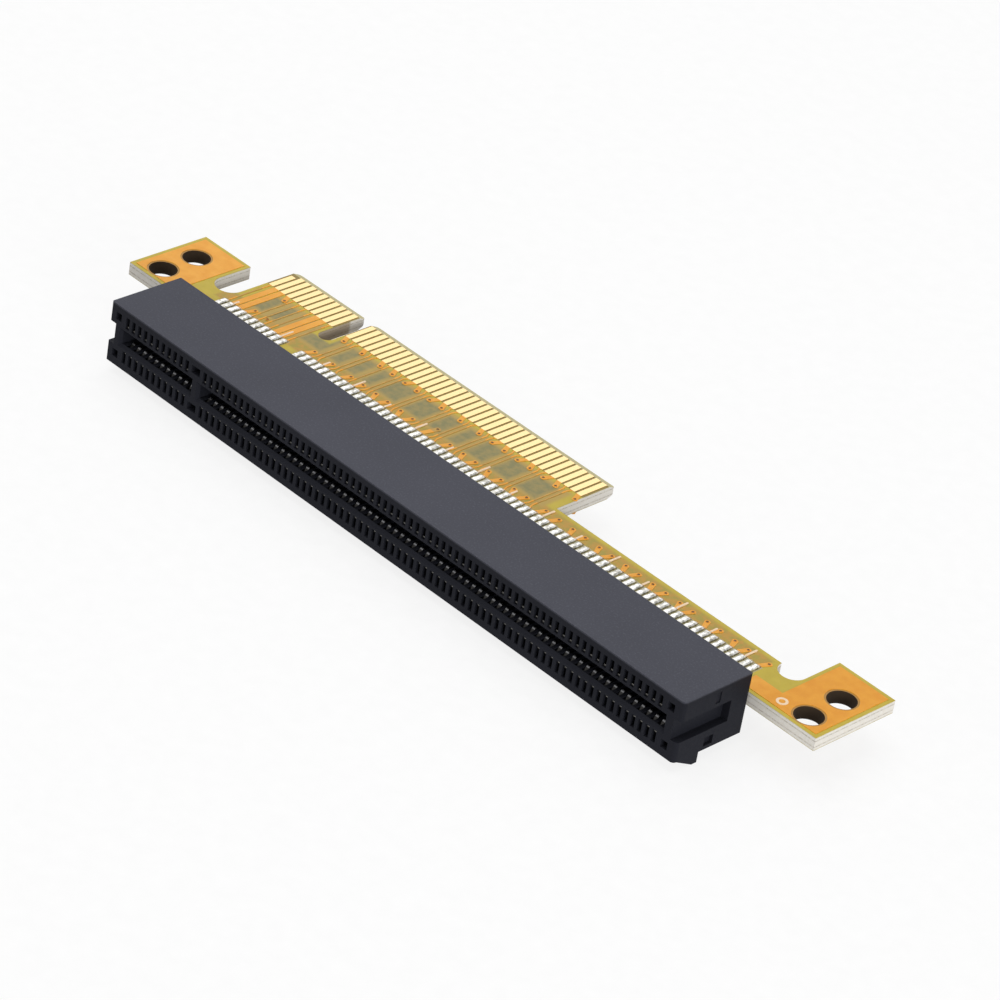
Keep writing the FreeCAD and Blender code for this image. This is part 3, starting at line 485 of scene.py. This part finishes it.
# Tin solder that has flowed and set: dull and patchy with flux over the contact, with a painted highlight
# that makes its toe brighter, and soft hollows that break up its shine.
def flowed_solder():
    material, tree = new_material("tin_solder_flowed")
    spot, parts = place_on_piece(tree)
    flow = add_node(tree, "ShaderNodeTexNoise", {"Vector": spot, "Scale": 2.2, "Detail": 3.0})
    bright = add_node(
        tree, "ShaderNodeMix", {0: flow, 6: linear("#cccac6"), 7: linear("#eeeeec")}, data_type="RGBA"
    )
    fluxed = add_node(tree, "ShaderNodeMapRange", {0: flow, 1: 0.4, 2: 0.6})
    dull = add_node(
        tree, "ShaderNodeMix", {0: fluxed, 6: linear("#98968f"), 7: linear("#dadad8")}, data_type="RGBA"
    )
    # Painted highlight: the toe takes the brighter tones.
    toe_highlight = add_node(
        tree, "ShaderNodeMapRange", {0: parts.outputs[1], 1: TOE_END - 0.15, 2: TOE_END + 0.1}
    )
    shader = add_node(
        tree,
        "ShaderNodeBsdfPrincipled",
        {
            "Base Color": add_node(tree, "ShaderNodeMix", {0: toe_highlight, 6: dull, 7: bright}, data_type="RGBA"),
            "Metallic": 1.0,
            "Roughness": add_node(tree, "ShaderNodeMapRange", {0: flow, 1: 0.3, 2: 0.7, 3: 0.2, 4: 0.34}),
            "Normal": add_node(
                tree, "ShaderNodeBump", {"Height": flow, "Strength": 0.4, "Distance": 0.1 * MM}
            ),
        },
    )
    add_node(tree, "ShaderNodeOutputMaterial", {"Surface": shader})
    return material


# Screen-printed epoxy ink: opaque white, matt, and thin enough that the mask tints it.
def printed_ink():
    material, tree = new_material("epoxy_ink_printed")
    spot, _ = place_on_piece(tree)
    wear = add_node(tree, "ShaderNodeTexNoise", {"Vector": spot, "Scale": 3.0, "Detail": 3.0})
    shader = add_node(
        tree,
        "ShaderNodeBsdfPrincipled",
        {
            "Base Color": add_node(
                tree,
                "ShaderNodeMix",
                {0: wear, 6: linear("#e2c49e"), 7: linear("#f4dcbc")},
                data_type="RGBA",
            ),
            "Roughness": 0.6,
        },
    )
    add_node(tree, "ShaderNodeOutputMaterial", {"Surface": shader})
    return material


# A via's open mouth: a shallow sink painted brown-dark, as painted shade for the depth of the drilled hole.
def painted_mouth_shade():
    material, tree = new_material("via_mouth_painted_shade")
    spot, _ = place_on_piece(tree)
    dust = add_node(tree, "ShaderNodeTexNoise", {"Vector": spot, "Scale": 8.0, "Detail": 1.0})
    shader = add_node(
        tree,
        "ShaderNodeBsdfPrincipled",
        {
            "Base Color": add_node(
                tree,
                "ShaderNodeMix",
                {0: dust, 6: linear("#4c2c08"), 7: linear("#6c4410")},
                data_type="RGBA",
            ),
            "Roughness": 0.7,
        },
    )
    add_node(tree, "ShaderNodeOutputMaterial", {"Surface": shader})
    return material


nylon = moulded_nylon()
laminate = masked_laminate()
copper = masked_copper()
gold = hard_gold()
bronze = plated_bronze()
solder = flowed_solder()
ink = printed_ink()
dark = painted_mouth_shade()

give(nylon, ["connector_housing"])
give(laminate, ["circuit_board"])
give(copper, ["upper_copper", "lower_copper"])
give(gold, nodes_called("gold_fingers"))
give(bronze, nodes_called("contacts"))
give(solder, nodes_called("solder"))


def select_faces(piece, wanted):
    """In edit mode, select just the faces whose middle and normal the test accepts."""
    bpy.ops.mesh.select_mode(type="FACE")
    bpy.ops.mesh.select_all(action="DESELECT")
    bpy.ops.object.mode_set(mode="OBJECT")
    for face in piece.data.polygons:
        face.select = wanted(face.center, face.normal)
    bpy.ops.object.mode_set(mode="EDIT")


def begin(name):
    """Name the new primitive and put its place into its mesh."""
    piece = bpy.context.object
    piece.name = name
    bpy.ops.object.transform_apply(location=True, rotation=True, scale=True)
    bpy.ops.object.mode_set(mode="EDIT")
    return piece


def finish_piece(piece, materials, slot=None):
    """Leave edit mode with the faces turned outwards, and give the piece its materials."""
    bpy.ops.mesh.select_all(action="SELECT")
    bpy.ops.mesh.normals_make_consistent(inside=False)
    bpy.ops.object.mode_set(mode="OBJECT")
    for material in materials:
        piece.data.materials.append(material)
    piece.select_set(False)
    if slot:
        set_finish(piece, slot)
    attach(piece, "root")


def copy_to(piece, name, shift, flip=False):
    """A copy with its own mesh, moved in the mesh, or turned over to the underside."""
    mesh = piece.data.copy()
    turn = Matrix.Rotation(math.pi, 4, "Y") if flip else Matrix.Identity(4)
    mesh.transform(Matrix.Translation(Vector(shift) * MM) @ turn)
    twin = bpy.data.objects.new(name, mesh)
    bpy.context.scene.collection.objects.link(twin)
    if "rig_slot" in piece:
        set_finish(twin, piece["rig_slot"])
    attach(twin, "root")
    return twin


# Vias: a low ring of masked copper round a dark mouth, set at the end of each stub.
def via_places(grounds, far_grounds, tall_stubs):
    """Where one side's vias stand: two neighbours that are both grounded lean apart."""
    places = []
    for pin in grounds + far_grounds:
        leans_left = pin + 1 in grounds + far_grounds
        x = pin_place(pin) + (-VIA_SHIFT if leans_left else VIA_SHIFT)
        reach = TALL_VIA_REACH if pin in tall_stubs else VIA_REACH
        places.append((x, PAD_END + reach))
        if pin in grounds:
            places.append((x, FINGER_START - VIA_REACH))
    return places


def first_via():
    """A ring with a sunk mouth, at the origin, its foot on the board's face."""
    middle = (0, 0, (BOARD_TOP + VIA_RISE / 2) * MM)
    bpy.ops.mesh.primitive_cylinder_add(
        vertices=14, radius=VIA_RADIUS * MM, depth=VIA_RISE * MM, location=middle
    )
    via = begin("via_ring")
    select_faces(via, lambda middle, normal: normal.z > 0.9)
    bpy.ops.mesh.inset(thickness=VIA_WALL * MM)
    bpy.ops.mesh.extrude_region_move(TRANSFORM_OT_translate={"value": (0, 0, -VIA_SINK * MM)})
    finish_piece(via, [copper, dark], "copper")
    # The mouth's floor and wall take the painted shade, the ring round them is copper.
    for face in via.data.polygons:
        if face.center.xy.length < (VIA_RADIUS - 0.04) * MM and face.normal.z > -0.5:
            face.material_index = 1
    return via


def place_vias():
    model = first_via()
    upper = via_places(UPPER_GROUNDS, UPPER_FAR_GROUNDS, UPPER_TALL_STUBS) + [LONE_VIA]
    lower = via_places(LOWER_GROUNDS, LOWER_FAR_GROUNDS, LOWER_TALL_STUBS)
    for side, places, flip in (("upper", upper, False), ("lower", lower, True)):
        for number, (x, y) in enumerate(places, start=1):
            copy_to(model, f"{side}_via_{number}", (x, y, 0), flip=flip)
    bpy.data.objects.remove(model)


# The CAD nodes come selected, and operators act on all that is.
bpy.ops.object.select_all(action="DESELECT")
place_vias()


def select_edges(piece, wanted):
    """In edit mode, select just the edges whose two ends the test accepts."""
    bpy.ops.mesh.select_mode(type="EDGE")
    bpy.ops.mesh.select_all(action="DESELECT")
    bpy.ops.object.mode_set(mode="OBJECT")
    for edge in piece.data.edges:
        edge.select = wanted(*(piece.data.vertices[index].co for index in edge.vertices))
    bpy.ops.object.mode_set(mode="EDIT")


# Solder joints: a lump over each contact's toe, rounded along its flanks and low at its waist.
def first_joint():
    """One joint on the board's upper face, at X nought."""
    bpy.ops.mesh.primitive_cube_add(size=1.0)
    joint = bpy.context.object
    joint.scale = (JOINT_WIDTH * MM, (TOE_END - HEEL) * MM, (JOINT_CROWN - BOARD_TOP) * MM)
    joint.location = (0, (HEEL + TOE_END) / 2 * MM, (BOARD_TOP + JOINT_CROWN) / 2 * MM)
    joint = begin("joint")
    for side, start, end in ((1, TOE_END, PAD_END), (-1, HEEL, JOINT_START)):
        select_faces(joint, lambda middle, normal: normal.y * side > 0.9)
        run = (0, (end - start) * MM, 0)
        bpy.ops.mesh.extrude_region_move(TRANSFORM_OT_translate={"value": run})
        foot = (0, end * MM, BOARD_TOP * MM)
        bpy.ops.transform.resize(value=(0.85, 1, 0.2), center_override=foot)
    # The waist is lowered along its top edge, and the long edges on top are rounded.
    bpy.ops.mesh.select_all(action="SELECT")
    waist = (HEEL + TOE_END) / 2 * MM
    bpy.ops.mesh.bisect(plane_co=(0, waist, 0), plane_no=(0, 1, 0))
    half_way = (BOARD_TOP + JOINT_CROWN) / 2 * MM
    select_edges(
        joint, lambda a, b: all(abs(p.y - waist) < 0.01 * MM and p.z > half_way for p in (a, b))
    )
    bpy.ops.transform.translate(value=(0, 0, -JOINT_DIP * MM))
    above = (BOARD_TOP + 0.03) * MM
    select_edges(joint, lambda a, b: abs(a.y - b.y) > 0.1 * MM and min(a.z, b.z) > above)
    bpy.ops.mesh.bevel(offset=0.2 * MM, segments=3)
    finish_piece(joint, [solder], "solder")
    for face in joint.data.polygons:
        face.use_smooth = True
    return joint


def set_joints():
    """One row of joints for each bank and side, each row in place of the CAD's plain lumps."""
    joint = first_joint()
    for bank, first, count in BANKS:
        for side, flip in (("upper", False), ("lower", True)):
            row = copy_to(joint, f"{side}_joints_{bank}", (pin_place(first), 0, 0), flip=flip)
            bpy.context.view_layer.objects.active = row
            spread = row.modifiers.new("pitch", "ARRAY")
            spread.count = count
            spread.use_relative_offset = False
            spread.use_constant_offset = True
            spread.constant_offset_displace = (PITCH * MM, 0, 0)
            bpy.ops.object.modifier_apply(modifier="pitch")
            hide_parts(f"{side}_solder_{bank}")
    bpy.data.objects.remove(joint)


set_joints()


# Printed strokes that count the pins off: a long one at each ten, a short one at each five.
def first_stroke(length):
    """One stroke with round ends on the board's upper face, from the origin along Y."""
    bpy.ops.mesh.primitive_cube_add(size=1.0)
    stroke = bpy.context.object
    stroke.scale = (STROKE_WIDTH * MM, length * MM, STROKE_RISE * MM)
    stroke.location = (0, length / 2 * MM, (BOARD_TOP + STROKE_RISE / 2) * MM)
    stroke = begin("ink_stroke")
    select_edges(stroke, lambda a, b: abs(a.z - b.z) > 0.05 * MM)
    bpy.ops.mesh.bevel(offset=0.11 * MM, segments=3)
    finish_piece(stroke, [ink])
    return stroke


def print_strokes():
    strokes = [(2, SECOND_PIN_STROKE)]
    strokes += [(pin, LONG_STROKE if pin % 10 == 0 else SHORT_STROKE) for pin in range(10, 81, 5)]
    models = {length: first_stroke(length) for length in (SECOND_PIN_STROKE, SHORT_STROKE, LONG_STROKE)}
    for number, (pin, length) in enumerate(strokes, start=1):
        for side, flip in (("upper", False), ("lower", True)):
            place = (pin_place(pin), STROKE_START, 0)
            copy_to(models[length], f"{side}_stroke_{number}", place, flip=flip)
    for model in models.values():
        bpy.data.objects.remove(model)


print_strokes()


# A printed ring beside the right ear's near hole.
def print_ring():
    place = Vector((*RING_PLACE, BOARD_TOP + RING_RISE / 2)) * MM
    bpy.ops.mesh.primitive_cylinder_add(
        vertices=32, radius=RING_RADIUS * MM, depth=RING_RISE * MM, location=place
    )
    ring = begin("ink_ring")
    select_faces(ring, lambda middle, normal: abs(normal.z) > 0.9)
    bpy.ops.mesh.inset(thickness=RING_WIDTH * MM)
    bpy.ops.mesh.bridge_edge_loops()
    finish_piece(ring, [ink])


print_ring()


def add_softbox(name, place, size, power):
    """A rectangular lamp that aims at the object's middle."""
    lamp = bpy.data.lights.new(name, "AREA")
    lamp.shape = "RECTANGLE"
    lamp.size, lamp.size_y = size
    lamp.energy = power
    softbox = bpy.data.objects.new(name, lamp)
    softbox.location = place
    aim = Vector((*MIDDLE, 0.0)) * MM - Vector(place)
    softbox.rotation_euler = aim.to_track_quat("-Z", "Y").to_euler()
    bpy.context.scene.collection.objects.link(softbox)


def seen_directly(tree):
    """One where a ray comes from the camera, a glossy face or glass, nought where it only lights."""
    path = add_node(tree, "ShaderNodeLightPath")
    rays = {0: path.outputs["Is Camera Ray"], 1: path.outputs["Is Glossy Ray"]}
    seen = add_node(tree, "ShaderNodeMath", rays, operation="MAXIMUM")
    rays = {0: seen, 1: path.outputs["Is Transmission Ray"]}
    return add_node(tree, "ShaderNodeMath", rays, operation="MAXIMUM")


def set_floor():
    """A white paper floor under the latch, which keeps a faint shadow."""
    place = (MIDDLE[0] * MM, MIDDLE[1] * MM, cad_box[0][2])
    bpy.ops.mesh.primitive_plane_add(size=4.0, location=place)
    floor = bpy.context.object
    floor.name = "floor"
    material, tree = new_material("floor_paper")
    seen = seen_directly(tree)
    spot, _ = place_on_piece(tree)
    fibre = add_node(tree, "ShaderNodeTexNoise", {"Vector": spot, "Scale": 0.5, "Detail": 2.0})
    pale = add_node(
        tree, "ShaderNodeMix", {0: fibre, 6: linear("#fbfbfb"), 7: linear("#ffffff")}, data_type="RGBA"
    )
    colour = add_node(tree, "ShaderNodeMix", {0: seen, 6: linear("#a8a8a8"), 7: pale}, data_type="RGBA")
    paper = add_node(tree, "ShaderNodeBsdfDiffuse", {"Color": colour})
    white = add_node(tree, "ShaderNodeEmission", {"Color": pale, "Strength": 1.0})
    glow = add_node(tree, "ShaderNodeMath", {0: seen, 1: 0.85}, operation="MULTIPLY")
    surface = add_node(tree, "ShaderNodeMixShader", {0: glow, 1: paper, 2: white})
    add_node(tree, "ShaderNodeOutputMaterial", {"Surface": surface})
    floor.data.materials.append(material)


def set_world():
    """A white surround that lights the object only softly."""
    world = bpy.data.worlds.new("studio")
    bpy.context.scene.world = world
    world.use_nodes = True
    tree = world.node_tree
    tree.nodes.clear()
    seen = seen_directly(tree)
    level = add_node(tree, "ShaderNodeMapRange", {0: seen, 3: 0.26, 4: 1.0})
    back = add_node(tree, "ShaderNodeBackground", {"Color": (1.0, 1.0, 1.0, 1.0), "Strength": level})
    add_node(tree, "ShaderNodeOutputWorld", {"Surface": back})


def set_camera():
    """The photograph's camera, from where it stood."""
    camera = bpy.data.cameras.new("camera")
    camera.sensor_width = 36.0
    camera.lens = 165.5
    # Half a pixel of the photograph each way.
    camera.shift_x, camera.shift_y = -0.0005, 0.0005
    camera.clip_start = 0.01
    camera.clip_end = 20.0
    eye = bpy.data.objects.new("camera", camera)
    right = Vector((0.68638, 0.71237, 0.14631))
    up = Vector((-0.47448, 0.28619, 0.83244))
    turn = Matrix((right, up, right.cross(up))).transposed().to_4x4()
    eye.matrix_world = Matrix.Translation(Vector((304.24, -300.08, 262.05)) * MM) @ turn
    bpy.context.scene.collection.objects.link(eye)
    bpy.context.scene.camera = eye


set_floor()
set_world()
add_softbox("overhead", (-0.05, 0.05, 0.45), (0.55, 0.55), 1.6)
add_softbox("behind", (-0.35, 0.44, 0.36), (0.6, 0.4), 0.75)
add_softbox("right", (0.55, -0.2, 0.1), (0.3, 0.3), 2.25)
add_softbox("front", (-0.1, -0.55, 0.15), (0.3, 0.2), 0.55)
set_camera()
bpy.context.scene.view_settings.view_transform = "Standard"
